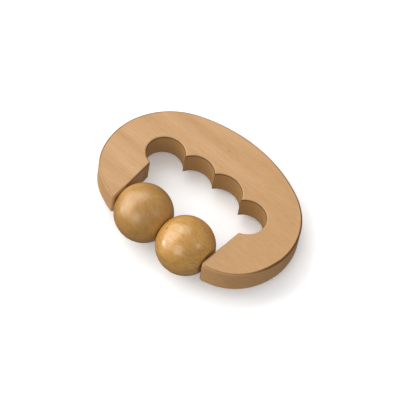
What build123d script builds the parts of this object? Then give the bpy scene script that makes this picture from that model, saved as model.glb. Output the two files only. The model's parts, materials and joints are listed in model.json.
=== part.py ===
from build123d import *
import os
from math import asin, atan2, cos, degrees, hypot, radians, sin, tan

# Hand massager: a C-shaped board handle whose open end carries two wooden balls on one rod.
# The board is drawn flat about its own middle plane, with the rod along X through the origin
# and the back of the grip towards +Y. It is then laid down as it rests on a table.

# Rolling balls
ball_radius = 20.0
ball_half_length = 18.0         # the ball is faced off flat at both ends of its bore
ball_rim_round = 0.8
ball_gap = 0.5                  # end play left between the two balls
ball_shift = -0.5               # the pair stands this far along the rod, within its end play
ball_centre_x = ball_half_length + ball_gap / 2

# Rod, and the dowel plug that closes the hole it is pushed in through
axle_radius = 3.0
axle_running_clearance = 0.05   # radial, between the rod and each ball's bore
axle_seat_depth = 9.5           # length of rod held in each jaw
axle_end_chamfer = 0.5
bore_mouth_chamfer = 0.5

# Handle board
board_thickness = 18.0
edge_round = 1.4
back_y = 89.6                   # rod to the back of the grip
jaw_half_gap = 37.5             # half the opening between the jaws, on the rod
jaw_flare = 3.0                 # degrees; each jaw's face leans away from the balls towards +Y

# Outline: arcs tangent to each other, from the middle of the back round to the jaw tip, each as
# (radius, angle turned in degrees). Each half turns half a circle. The board is shaped by hand,
# so its halves differ a little, and its middle is a little off the middle of the opening.
outline_shift = -0.4
right_arcs = (
    (101.0, 28.8),              # back of the grip
    (48.5, 91.9),               # shoulder
    (39.4, 41.3),               # cheek
    (68.4, 18.0),               # jaw
)
left_arcs = (
    (106.8, 22.5),
    (51.7, 90.3),
    (36.3, 39.0),
    (71.8, 28.2),
)

# One groove for each finger, from the left jaw to the right: (centre x, centre y, radius)
finger_grooves = (
    (-36.7, 41.5, 13.1),
    (-12.9, 43.2, 13.4),
    (9.8, 42.9, 14.7),
    (34.9, 40.3, 13.2),
)

# Corner rounding in plan; the cusps between the grooves are left sharp
left_tip_round = 1.6
right_tip_round = 2.6
jaw_corner_round = 1.6

half_board = board_thickness / 2
axle_half_length = jaw_half_gap + axle_seat_depth
beyond_board = 2 * jaw_half_gap


def arcs_from_the_back(outline_arcs):
    """Half an outline that starts along +X at the middle of the back, and its last point."""
    arcs = []
    point, heading = Vector(0, back_y), Vector(1, 0)
    for radius, turn in outline_arcs:
        arcs.append(JernArc(start=point, tangent=heading, radius=radius, arc_size=-turn))
        point, heading = arcs[-1] @ 1, arcs[-1] % 1
    return Curve() + arcs, point


def board_outline():
    """Closed outer outline of the board, with a straight line across the tips."""
    right_half, right_end = arcs_from_the_back(right_arcs)
    mirrored_left_half, left_end = arcs_from_the_back(left_arcs)
    left_half = mirror(mirrored_left_half, about=Plane.YZ)
    across_the_tips = Line((-left_end.X, left_end.Y), (right_end.X, right_end.Y))
    return Pos(outline_shift, 0) * make_face(right_half + left_half + across_the_tips)


def jaw_face_x(y):
    """Half the width of the opening between the jaws at a distance y from the rod."""
    return jaw_half_gap + y * tan(radians(jaw_flare))


def hand_opening():
    """Flared slot between the jaws, widened at its inner end by the finger grooves."""
    slot_start_y = -2 * ball_radius
    slot_end_y = finger_grooves[-1][1]
    start_x, end_x = jaw_face_x(slot_start_y), jaw_face_x(slot_end_y)
    slot = Polygon(
        (-start_x, slot_start_y), (start_x, slot_start_y), (end_x, slot_end_y), (-end_x, slot_end_y),
        align=None,
    )
    grooves = [Pos(x, y) * Circle(radius) for x, y, radius in finger_grooves]
    return slot + grooves


def jaw_corners(plan, side, low_y, high_y):
    """The plan's corners on one jaw's face, between two distances from the rod."""
    return [
        corner for corner in plan.vertices()
        if low_y < corner.Y < high_y and abs(side * corner.X - jaw_face_x(corner.Y)) < 0.01
    ]


def make_board():
    """The whole board, rounded all round, before it is drilled."""
    plan = board_outline() - hand_opening()
    for side, tip_round in ((-1, left_tip_round), (1, right_tip_round)):
        plan = fillet(jaw_corners(plan, side, -ball_radius, 0), tip_round)
        plan = fillet(jaw_corners(plan, side, ball_radius, 2 * ball_radius), jaw_corner_round)
    board = extrude(plan, half_board, both=True)
    face_edges = [edge for edge in board.edges() if abs(abs(edge.center().Z) - half_board) < 0.01]
    return fillet(face_edges, edge_round)


def rod_along_x(radius, start_x, end_x):
    """Plain round bar on the rod's axis."""
    return Pos((start_x + end_x) / 2, 0, 0) * Rot(0, 90, 0) * Cylinder(radius, end_x - start_x)


def make_handle(board):
    """Board with the rod's hole: blind in the left jaw, right through the right jaw."""
    return board - rod_along_x(axle_radius, -axle_half_length, beyond_board)


def make_axle():
    """Steel rod that both balls turn on."""
    rod = rod_along_x(axle_radius, -axle_half_length, axle_half_length)
    return chamfer(rod.edges().filter_by(GeomType.CIRCLE), axle_end_chamfer)


def make_axle_plug(board):
    """Dowel plug behind the rod, sanded flush with the right jaw's outer wall."""
    return board & rod_along_x(axle_radius, axle_half_length, beyond_board)


def make_ball():
    """Turned ball about the rod's axis, with a flat and a countersunk bore mouth at each end."""
    bore_radius = axle_radius + axle_running_clearance
    ball = Sphere(ball_radius) & Cylinder(ball_radius, 2 * ball_half_length)
    rims = [edge for edge in ball.edges() if abs(abs(edge.center().Z) - ball_half_length) < 0.01]
    ball = fillet(rims, ball_rim_round)
    ball -= Cylinder(bore_radius, 2 * ball_half_length)
    mouths = [
        edge for edge in ball.edges().filter_by(GeomType.CIRCLE)
        if abs(edge.radius - bore_radius) < 0.01
    ]
    ball = chamfer(mouths, bore_mouth_chamfer)
    return Rot(0, 90, 0) * ball


def resting_tilt():
    """Angle that lays the part on both balls and on the back's lower edge, back end down."""
    edge_centre_y = back_y - edge_round
    edge_centre_drop = half_board - edge_round
    reach = hypot(edge_centre_y, edge_centre_drop)
    return asin((ball_radius - edge_round) / reach) - atan2(edge_centre_drop, edge_centre_y)


def lay_down(shape):
    """Move a shape from the board's frame to the table, with the origin mid-footprint."""
    tilt = resting_tilt()
    back_reach = (back_y - edge_round) * cos(tilt) + (half_board - edge_round) * sin(tilt) + edge_round
    middle_y = (back_reach - ball_radius) / 2
    return Pos(0, -middle_y, ball_radius) * Rot(-degrees(tilt), 0, 0) * shape


board = make_board()
ball = make_ball()
nodes = {
    "handle": make_handle(board),
    "axle": make_axle(),
    "axle_plug": make_axle_plug(board),
    "ball_left": Pos(ball_shift - ball_centre_x, 0, 0) * ball,
    "ball_right": Pos(ball_shift + ball_centre_x, 0, 0) * ball,
}

os.makedirs("parts", exist_ok=True)
for name, shape in nodes.items():
    export_step(lay_down(shape), f"parts/{name}.step")
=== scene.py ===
import json
from math import asin, cos, radians, sin

import bpy
from mathutils import Matrix, Vector


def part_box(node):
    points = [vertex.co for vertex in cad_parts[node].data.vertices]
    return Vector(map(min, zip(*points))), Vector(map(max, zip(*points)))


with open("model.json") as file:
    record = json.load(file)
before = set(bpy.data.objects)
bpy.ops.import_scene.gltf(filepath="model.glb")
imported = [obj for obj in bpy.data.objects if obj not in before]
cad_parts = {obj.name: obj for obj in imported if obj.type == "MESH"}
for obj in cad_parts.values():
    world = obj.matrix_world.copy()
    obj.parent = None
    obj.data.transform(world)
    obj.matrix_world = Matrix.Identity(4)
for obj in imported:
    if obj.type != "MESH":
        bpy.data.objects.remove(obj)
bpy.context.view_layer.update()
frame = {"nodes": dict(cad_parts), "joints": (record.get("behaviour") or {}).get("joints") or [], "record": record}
nodes = frame["nodes"]

# ---------------------------------------------------------------------------
# Places read from the frame
# ---------------------------------------------------------------------------
# The handle is a flat board that lies tilted. Its own axes are X along the balls' rod, Y from
# the rod to the back of the grip, and Z square to the board, from the middle of its thickness.
mounts = {mount["name"]: mount for mount in frame["record"]["mounts"]}
top_face = mounts["handle_top_face"]
bottom_face = mounts["handle_bottom_face"]
board_up = Vector(top_face["axis"])
board_tilt = asin(board_up.y)
half_board = (Vector(top_face["pos_m"]) - Vector(bottom_face["pos_m"])).dot(board_up) / 2
left_spin, right_spin = (Vector(joint["pos_m"]) for joint in frame["joints"])
rod_middle = (left_spin + right_spin) / 2
jaw_reach = (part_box("axle")[1].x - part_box("axle")[0].x) / 2
ball_radius = (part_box("ball_left")[1].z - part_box("ball_left")[0].z) / 2
plug_radius = (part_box("axle_plug")[1].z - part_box("axle_plug")[0].z) / 2


# ---------------------------------------------------------------------------
# Camera
# ---------------------------------------------------------------------------
CAMERA_AZIMUTH = radians(38.23)     # round from the front, towards +X
CAMERA_ELEVATION = radians(60.87)
CAMERA_ROLL = radians(3.15)
CAMERA_DISTANCE = 1.338
CAMERA_AIM = Vector((0.0064, -0.0079, 0.0312))
CAMERA_LENS = 184.0                 # millimetres, on a 36 mm sensor


def make_camera():
    """Long-lens camera above the front right of the part."""
    data = bpy.data.cameras.new("camera")
    data.lens = CAMERA_LENS
    data.sensor_width = 36.0
    data.clip_start = 0.1
    data.clip_end = 50.0
    camera = bpy.data.objects.new("camera", data)
    bpy.context.scene.collection.objects.link(camera)
    back = Vector((
        sin(CAMERA_AZIMUTH) * cos(CAMERA_ELEVATION),
        -cos(CAMERA_AZIMUTH) * cos(CAMERA_ELEVATION),
        sin(CAMERA_ELEVATION),
    ))
    level_right = Vector((cos(CAMERA_AZIMUTH), sin(CAMERA_AZIMUTH), 0.0))
    level_up = back.cross(level_right)
    right = level_right * cos(CAMERA_ROLL) + level_up * sin(CAMERA_ROLL)
    up = back.cross(right)
    turn = Matrix((right, up, back)).transposed()
    camera.matrix_world = Matrix.Translation(CAMERA_AIM + back * CAMERA_DISTANCE) @ turn.to_4x4()
    bpy.context.scene.camera = camera


# ---------------------------------------------------------------------------
# Node helpers
# ---------------------------------------------------------------------------
class Shader:
    """A new material with a Principled shader, and short calls that add nodes to it."""

    def __init__(self, name):
        self.material = bpy.data.materials.new(name)
        self.material.use_nodes = True
        self.tree = self.material.node_tree
        self.surface = self.tree.nodes["Principled BSDF"]

    def node(self, kind, **settings):
        """A new node with these settings."""
        made = self.tree.nodes.new(kind)
        for key, value in settings.items():
            setattr(made, key, value)
        return made

    def feed(self, socket, value):
        """Link a socket to another, or give it a number or an RGB triple."""
        if isinstance(value, bpy.types.NodeSocket):
            self.tree.links.new(value, socket)
        elif isinstance(value, tuple) and socket.type == "RGBA":
            socket.default_value = (*value, 1.0)
        else:
            socket.default_value = value

    def set(self, **sockets):
        """Feed sockets of the surface; underscores stand for spaces."""
        for name, value in sockets.items():
            self.feed(self.surface.inputs[name.replace("_", " ")], value)

    def wood_space(self, turn, offset):
        """Coordinates in metres that lie in the piece of wood, with X along its grain."""
        mapping = self.node("ShaderNodeMapping", vector_type="POINT")
        self.feed(mapping.inputs["Vector"], self.node("ShaderNodeTexCoord").outputs["Object"])
        mapping.inputs["Rotation"].default_value = turn
        mapping.inputs["Location"].default_value = offset
        return mapping.outputs["Vector"]

    def noise(self, place, along, across, detail=2.0, roughness=0.5, distortion=0.0):
        """Noise from 0 to 1 whose features are this long along the grain and this wide."""
        counted = self.node("ShaderNodeVectorMath", operation="MULTIPLY")
        self.feed(counted.inputs[0], place)
        counted.inputs[1].default_value = (1 / along, 1 / across, 1 / across)
        made = self.node("ShaderNodeTexNoise")
        self.feed(made.inputs["Vector"], counted.outputs["Vector"])
        self.feed(made.inputs["Scale"], 1.0)
        self.feed(made.inputs["Detail"], detail)
        self.feed(made.inputs["Roughness"], roughness)
        self.feed(made.inputs["Distortion"], distortion)
        return made.outputs["Fac"]

    def ramp(self, value, low, high, start=0.0, end=1.0):
        """Value between low and high, turned smoothly into start to end."""
        made = self.node("ShaderNodeMapRange", interpolation_type="SMOOTHSTEP")
        self.feed(made.inputs["Value"], value)
        self.feed(made.inputs["From Min"], low)
        self.feed(made.inputs["From Max"], high)
        self.feed(made.inputs["To Min"], start)
        self.feed(made.inputs["To Max"], end)
        return made.outputs["Result"]

    def math(self, operation, first, second):
        """A Math node's result; second is ignored where the operation takes one value."""
        made = self.node("ShaderNodeMath", operation=operation)
        self.feed(made.inputs[0], first)
        self.feed(made.inputs[1], second)
        return made.outputs["Value"]

    def product(self, *factors):
        """All the factors multiplied."""
        result = factors[0]
        for factor in factors[1:]:
            result = self.math("MULTIPLY", result, factor)
        return result

    def mix(self, share, first, second):
        """First colour, turned into the second by share."""
        made = self.node("ShaderNodeMix", data_type="RGBA")
        self.feed(made.inputs[0], share)
        self.feed(made.inputs[6], first)
        self.feed(made.inputs[7], second)
        return made.outputs[2]

    def bump(self, height, distance):
        made = self.node("ShaderNodeBump")
        self.feed(made.inputs["Distance"], distance)
        self.feed(made.inputs["Height"], height)
        self.set(Normal=made.outputs["Normal"])

    def facing(self, direction):
        """How squarely the surface faces along a direction of the piece, either way, 0 to 1."""
        dot = self.node("ShaderNodeVectorMath", operation="DOT_PRODUCT")
        self.feed(dot.inputs[0], self.node("ShaderNodeTexCoord").outputs["Normal"])
        dot.inputs[1].default_value = direction
        return self.math("ABSOLUTE", dot.outputs["Value"], 0.0)

    def distance(self, place, centre, scale):
        """How far a place is from a centre, after each axis is scaled."""
        shifted = self.node("ShaderNodeVectorMath", operation="SUBTRACT")
        self.feed(shifted.inputs[0], place)
        shifted.inputs[1].default_value = centre
        scaled = self.node("ShaderNodeVectorMath", operation="MULTIPLY")
        self.feed(scaled.inputs[0], shifted.outputs["Vector"])
        scaled.inputs[1].default_value = scale
        length = self.node("ShaderNodeVectorMath", operation="LENGTH")
        self.feed(length.inputs[0], scaled.outputs["Vector"])
        return length.outputs["Value"]

    def knot(self, place, centre, length, width):
        """1 in the middle of a small dark knot, fading to 0 at its rim; its length lies along X."""
        return self.ramp(self.distance(place, centre, (2 / length, 2 / width, 2 / width)), 1.0, 0.2)

    def part_of(self, place, axis):
        """One coordinate of a place."""
        split = self.node("ShaderNodeSeparateXYZ")
        self.feed(split.inputs["Vector"], place)
        return split.outputs[axis]


# ---------------------------------------------------------------------------
# Materials
# ---------------------------------------------------------------------------
TOP_PALE = (0.545, 0.328, 0.162)
TOP_DEEP = (0.455, 0.256, 0.104)
WALL_TAN = (0.532, 0.289, 0.121)
# Partly the end grain's own olive tone and partly painted shade of the finger grooves.
GROOVE_OLIVE_SHADE = (0.412, 0.213, 0.068)
STREAK_BROWN = (0.310, 0.160, 0.062)
STREAK_PALE = (0.680, 0.445, 0.250)
BALL_STREAK = (0.300, 0.152, 0.038)
BALL_KNOT = (0.170, 0.080, 0.010)
# Painted shade along the rounded top edges; the second colour also draws the plug's glue line.
GROOVE_EDGE_SHADE = (0.090, 0.040, 0.004)
EDGE_SHADE_AND_GLUE = (0.140, 0.052, 0.006)

PIN_KNOT = (-0.0072, 0.0728)        # a tiny knot in the top face, in the board's own X and Y, metres
OPENING_BACK = 0.065                # the finger opening ends before this Y
GROOVES_FRONT = 0.020               # the grooves' olive tint starts at this Y
EDGE_FADE = 0.005                   # the opening's tints fade out over this distance
GROOVE_FADE = 0.004                 # and the grooves' tint fades in over this one
GLUE_LINE = (0.00035, 0.0001)       # how far inside the plug's rim its dark line starts, and is full


def board_space(wood):
    """Coordinates in the board's own axes, from the middle of the rod."""
    turn = Matrix.Rotation(board_tilt, 3, "X")
    return wood.wood_space((board_tilt, 0.0, 0.0), -(turn @ rod_middle))


def handle_wood():
    """Pale straight-grained hardwood under thin satin lacquer, with painted shade along its rounded top edges,
    partly painted shade in its finger grooves, and painted light that deepens it towards +X.
    """
    wood = Shader("handle_wood")
    place = board_space(wood)
    bands = wood.noise(place, 0.120, 0.010, detail=2.0, distortion=0.3)
    streaks = wood.noise(place, 0.014, 0.0009, detail=3.0, roughness=0.6)
    flecks = wood.noise(place, 0.0035, 0.0005, detail=1.0)
    mottle = wood.noise(place, 0.009, 0.006, detail=2.0)

    colour = wood.mix(wood.ramp(bands, 0.20, 0.80), TOP_DEEP, TOP_PALE)
    # Painted light: the top deepens towards +X, standing in for the sheen and light that leave the left end paler.
    painted_falloff = wood.ramp(wood.part_of(place, "X"), -0.030, 0.060)
    colour = wood.mix(wood.product(painted_falloff, 0.8), colour, TOP_DEEP)
    colour = wood.mix(wood.ramp(mottle, 0.40, 0.70, 0.0, 0.30), colour, WALL_TAN)

    flatness = wood.facing(tuple(board_up))
    wall = wood.ramp(flatness, 0.75, 0.25)
    across = wood.math("ABSOLUTE", wood.part_of(place, "X"), 0.0)
    back = wood.part_of(place, "Y")
    between_jaws = wood.product(
        wood.ramp(across, 1.15 * jaw_reach, 1.10 * jaw_reach),
        wood.ramp(back, 0.0, EDGE_FADE),
        wood.ramp(back, OPENING_BACK + EDGE_FADE, OPENING_BACK),
    )
    # The grooves' olive tint is partly the end grain's own tone and partly painted shade of the recess between the
    # jaws.
    groove_tone_and_shade = wood.product(wall, between_jaws, wood.ramp(back, GROOVES_FRONT, GROOVES_FRONT + GROOVE_FADE))
    colour = wood.mix(wood.product(wall, 0.8), colour, WALL_TAN)
    colour = wood.mix(wood.product(groove_tone_and_shade, 0.9), colour, GROOVE_OLIVE_SHADE)
    colour = wood.mix(wood.ramp(streaks, 0.42, 0.78, 0.0, 0.30), colour, STREAK_BROWN)
    colour = wood.mix(wood.ramp(flecks, 0.56, 0.74, 0.0, 0.30), colour, STREAK_BROWN)
    colour = wood.mix(wood.ramp(streaks, 0.42, 0.26, 0.0, 0.22), colour, STREAK_PALE)

    knot = wood.knot(place, (*PIN_KNOT, half_board), 0.0034, 0.0018)
    colour = wood.mix(wood.product(knot, 0.7), colour, STREAK_BROWN)

    height = wood.math("ABSOLUTE", wood.part_of(place, "Z"), 0.0)
    # Painted shade: a dark line on the wall side of the round-over round the finger opening.
    painted_inner_rim = wood.product(
        wood.ramp(height, half_board - 0.0014, half_board - 0.0009),
        wood.ramp(flatness, 0.90, 0.65),
        between_jaws,
    )
    # Painted shade and dark reflection: round the outside the dark line on the round-over is deeper and darker at
    # the back of the grip than at the jaws.
    outer_depth = wood.ramp(back, 0.000, 0.030, 0.0005, 0.0013)
    outer_strength = wood.ramp(back, -0.005, 0.025, 0.45, 0.90)
    painted_outer_rim = wood.product(
        wood.ramp(wood.math("ADD", height, outer_depth), half_board - 0.0001, half_board + 0.0002),
        wood.ramp(flatness, 0.995, 0.965),
        wood.math("SUBTRACT", 1.0, between_jaws),
        outer_strength,
    )
    colour = wood.mix(wood.product(painted_inner_rim, 0.85), colour, GROOVE_EDGE_SHADE)
    colour = wood.mix(painted_outer_rim, colour, EDGE_SHADE_AND_GLUE)

    wood.set(Base_Color=colour, Roughness=wood.ramp(streaks, 0.3, 0.7, 0.44, 0.56), IOR=1.45)
    wood.bump(wood.math("ADD", streaks, wood.product(flecks, 0.5)), 0.00006)
    return wood.material


def ball_wood(name, turn, offset, pale, deep, gloss, knot_at):
    """Honey-coloured turned wood with thin growth lines and a knot, under varnish of this roughness."""
    wood = Shader(name)
    place = wood.wood_space(turn, offset)
    blotches = wood.noise(place, 0.018, 0.012, detail=2.0, distortion=0.4)
    streaks = wood.noise(place, 0.016, 0.0007, detail=3.0, roughness=0.6)
    growth = wood.noise(place, 0.090, 0.007, detail=1.0)
    ripple = wood.noise(place, 0.006, 0.005, detail=1.0)

    colour = wood.mix(wood.ramp(blotches, 0.30, 0.72), deep, pale)
    colour = wood.mix(wood.ramp(streaks, 0.44, 0.70, 0.0, 0.55), colour, BALL_STREAK)
    ring = wood.math("ABSOLUTE", wood.math("SINE", wood.product(growth, 16.0), 0.0), 0.0)
    colour = wood.mix(wood.ramp(ring, 0.36, 0.04, 0.0, 0.40), colour, BALL_STREAK)
    knot = wood.knot(wood.wood_space((0.0, 0.0, 0.0), (0.0, 0.0, 0.0)), knot_at, 0.0036, 0.0020)
    colour = wood.mix(wood.product(knot, 0.85), colour, BALL_KNOT)
    wood.set(Base_Color=colour, Roughness=wood.ramp(blotches, 0.3, 0.7, 0.46, 0.56), IOR=1.45)
    wood.bump(wood.math("ADD", wood.product(streaks, 0.2), ripple), 0.00010)
    wood.set(Specular_IOR_Level=0.5, Coat_Weight=1.0, Coat_Roughness=gloss, Coat_IOR=1.65)
    wood.set(Coat_Tint=(1.0, 0.92, 0.74))
    return wood.material


def plug_wood():
    """Dowel of the handle's wood, sanded flush, with a fine dark glue line round it."""
    wood = Shader("plug_wood")
    place = board_space(wood)
    streaks = wood.noise(place, 0.014, 0.0011, detail=3.0, roughness=0.6)
    colour = wood.mix(wood.ramp(streaks, 0.35, 0.75, 0.0, 0.5), WALL_TAN, STREAK_BROWN)
    from_axis = wood.distance(place, (0.0, 0.0, 0.0), (0.0, 1.0, 1.0))
    glue_line = wood.ramp(from_axis, plug_radius - GLUE_LINE[0], plug_radius - GLUE_LINE[1])
    colour = wood.mix(wood.product(glue_line, 0.3), colour, EDGE_SHADE_AND_GLUE)
    wood.set(Base_Color=colour, Roughness=wood.ramp(streaks, 0.3, 0.7, 0.46, 0.58), IOR=1.45)
    wood.bump(streaks, 0.00006)
    return wood.material


def axle_steel():
    """Drawn steel rod with fine lines along it."""
    steel = Shader("axle_steel")
    place = steel.wood_space((0.0, 0.0, 0.0), (0.0, 0.0, 0.0))
    lines = steel.noise(place, 0.050, 0.0003, detail=2.0)
    steel.set(
        Base_Color=steel.mix(lines, (0.30, 0.29, 0.28), (0.42, 0.41, 0.40)),
        Roughness=steel.ramp(lines, 0.3, 0.7, 0.30, 0.42),
        Metallic=1.0,
    )
    steel.bump(lines, 0.00002)
    return steel.material


def floor_white():
    """Plain white paper, faintly glowing so that shadows on it stay light."""
    paper = Shader("floor_white")
    paper.set(Base_Color=(0.98, 0.98, 0.98), Roughness=0.9, Specular_IOR_Level=0.1)
    paper.set(Emission_Color=(1.0, 1.0, 1.0), Emission_Strength=0.10)
    return paper.material


def dress(node, material):
    """Give a CAD node its material in every slot."""
    mesh = nodes[node].data
    if not mesh.materials:
        mesh.materials.append(material)
    for index in range(len(mesh.materials)):
        mesh.materials[index] = material


# ---------------------------------------------------------------------------
# Floor, lights and surroundings
# ---------------------------------------------------------------------------
FLOOR_HALF_SIDE = 30.0
WORLD_ABOVE = 0.34
WORLD_BELOW = 0.40
WORLD_MIRRORED = 0.12

# Name, direction towards the light, strength, width in degrees, and whether gloss mirrors it.
LIGHTS = (
    ("key", (-0.82, -0.08, 0.57), 1.74, 66, True),
    ("low_left", (-0.74, -0.56, 0.34), 0.80, 52, True),
    ("overhead", (0.00, 0.00, 1.00), 1.05, 120, False),
    ("back", (-0.41, 0.43, 0.80), 0.60, 40, True),
    ("front", (0.06, -0.81, 0.58), 0.58, 36, True),
    ("window", (-0.82, -0.57, 0.03), 0.40, 16, True),
    ("right", (0.78, 0.22, 0.58), 0.12, 17, True),
)


def make_floor():
    """White floor at Z = 0, wide enough to reach the horizon."""
    side = FLOOR_HALF_SIDE
    corners = [(-side, -side, 0), (side, -side, 0), (side, side, 0), (-side, side, 0)]
    mesh = bpy.data.meshes.new("floor")
    mesh.from_pydata(corners, [], [(0, 1, 2, 3)])
    mesh.materials.append(floor_white())
    floor = bpy.data.objects.new("floor", mesh)
    bpy.context.scene.collection.objects.link(floor)
    floor.visible_diffuse = False       # the world below lights the underside instead
    floor.visible_glossy = False


def make_sun(name, towards, strength, angle, mirrored):
    """Even light from a direction, which looks angle degrees wide, and which gloss may mirror."""
    data = bpy.data.lights.new(name, "SUN")
    data.energy = strength
    data.angle = radians(angle)
    sun = bpy.data.objects.new(name, data)
    bpy.context.scene.collection.objects.link(sun)
    sun.rotation_mode = "QUATERNION"
    sun.rotation_quaternion = Vector(towards).to_track_quat("Z", "Y")
    sun.visible_glossy = mirrored


def make_lights():
    """One sun for each row of LIGHTS."""
    for light in LIGHTS:
        make_sun(*light)


def make_world():
    """Dim surroundings, a little lighter below than above, dimmer in gloss, white to the camera."""
    world = bpy.data.worlds.new("studio")
    world.use_nodes = True
    bpy.context.scene.world = world
    tree = world.node_tree
    height = tree.nodes.new("ShaderNodeSeparateXYZ")
    tree.links.new(tree.nodes.new("ShaderNodeTexCoord").outputs["Generated"], height.inputs["Vector"])
    light = tree.nodes.new("ShaderNodeMapRange")
    light.inputs["From Min"].default_value = -0.05
    light.inputs["From Max"].default_value = 0.05
    light.inputs["To Min"].default_value = WORLD_BELOW
    light.inputs["To Max"].default_value = WORLD_ABOVE
    tree.links.new(height.outputs["Z"], light.inputs["Value"])
    ray = tree.nodes.new("ShaderNodeLightPath")
    mirrored = tree.nodes.new("ShaderNodeMapRange")
    mirrored.inputs["To Max"].default_value = WORLD_MIRRORED
    tree.links.new(ray.outputs["Is Glossy Ray"], mirrored.inputs["Value"])
    tree.links.new(light.outputs["Result"], mirrored.inputs["To Min"])
    seen = tree.nodes.new("ShaderNodeMapRange")
    seen.inputs["To Max"].default_value = 1.0
    tree.links.new(ray.outputs["Is Camera Ray"], seen.inputs["Value"])
    tree.links.new(mirrored.outputs["Result"], seen.inputs["To Min"])
    background = tree.nodes["Background"]
    background.inputs["Color"].default_value = (1.0, 1.0, 1.0, 1.0)
    tree.links.new(seen.outputs["Result"], background.inputs["Strength"])


make_camera()
make_world()
make_lights()
make_floor()

dress("handle", handle_wood())
dress("ball_left", ball_wood(
    "ball_left_wood", (0.3, radians(-35.0), 0.4), (0.031, 0.017, 0.007),
    pale=(0.495, 0.284, 0.087), deep=(0.410, 0.220, 0.059), gloss=0.32,
    knot_at=left_spin + ball_radius * Vector((0.30, 0.81, -0.50)),
))
dress("ball_right", ball_wood(
    "ball_right_wood", (0.0, radians(8.0), 0.0), (0.003, 0.045, 0.012),
    pale=(0.600, 0.354, 0.118), deep=(0.490, 0.272, 0.079), gloss=0.21,
    knot_at=right_spin + ball_radius * Vector((-0.62, -0.23, 0.75)),
))
dress("axle_plug", plug_wood())
dress("axle", axle_steel())

bpy.context.scene.view_settings.view_transform = "Standard"
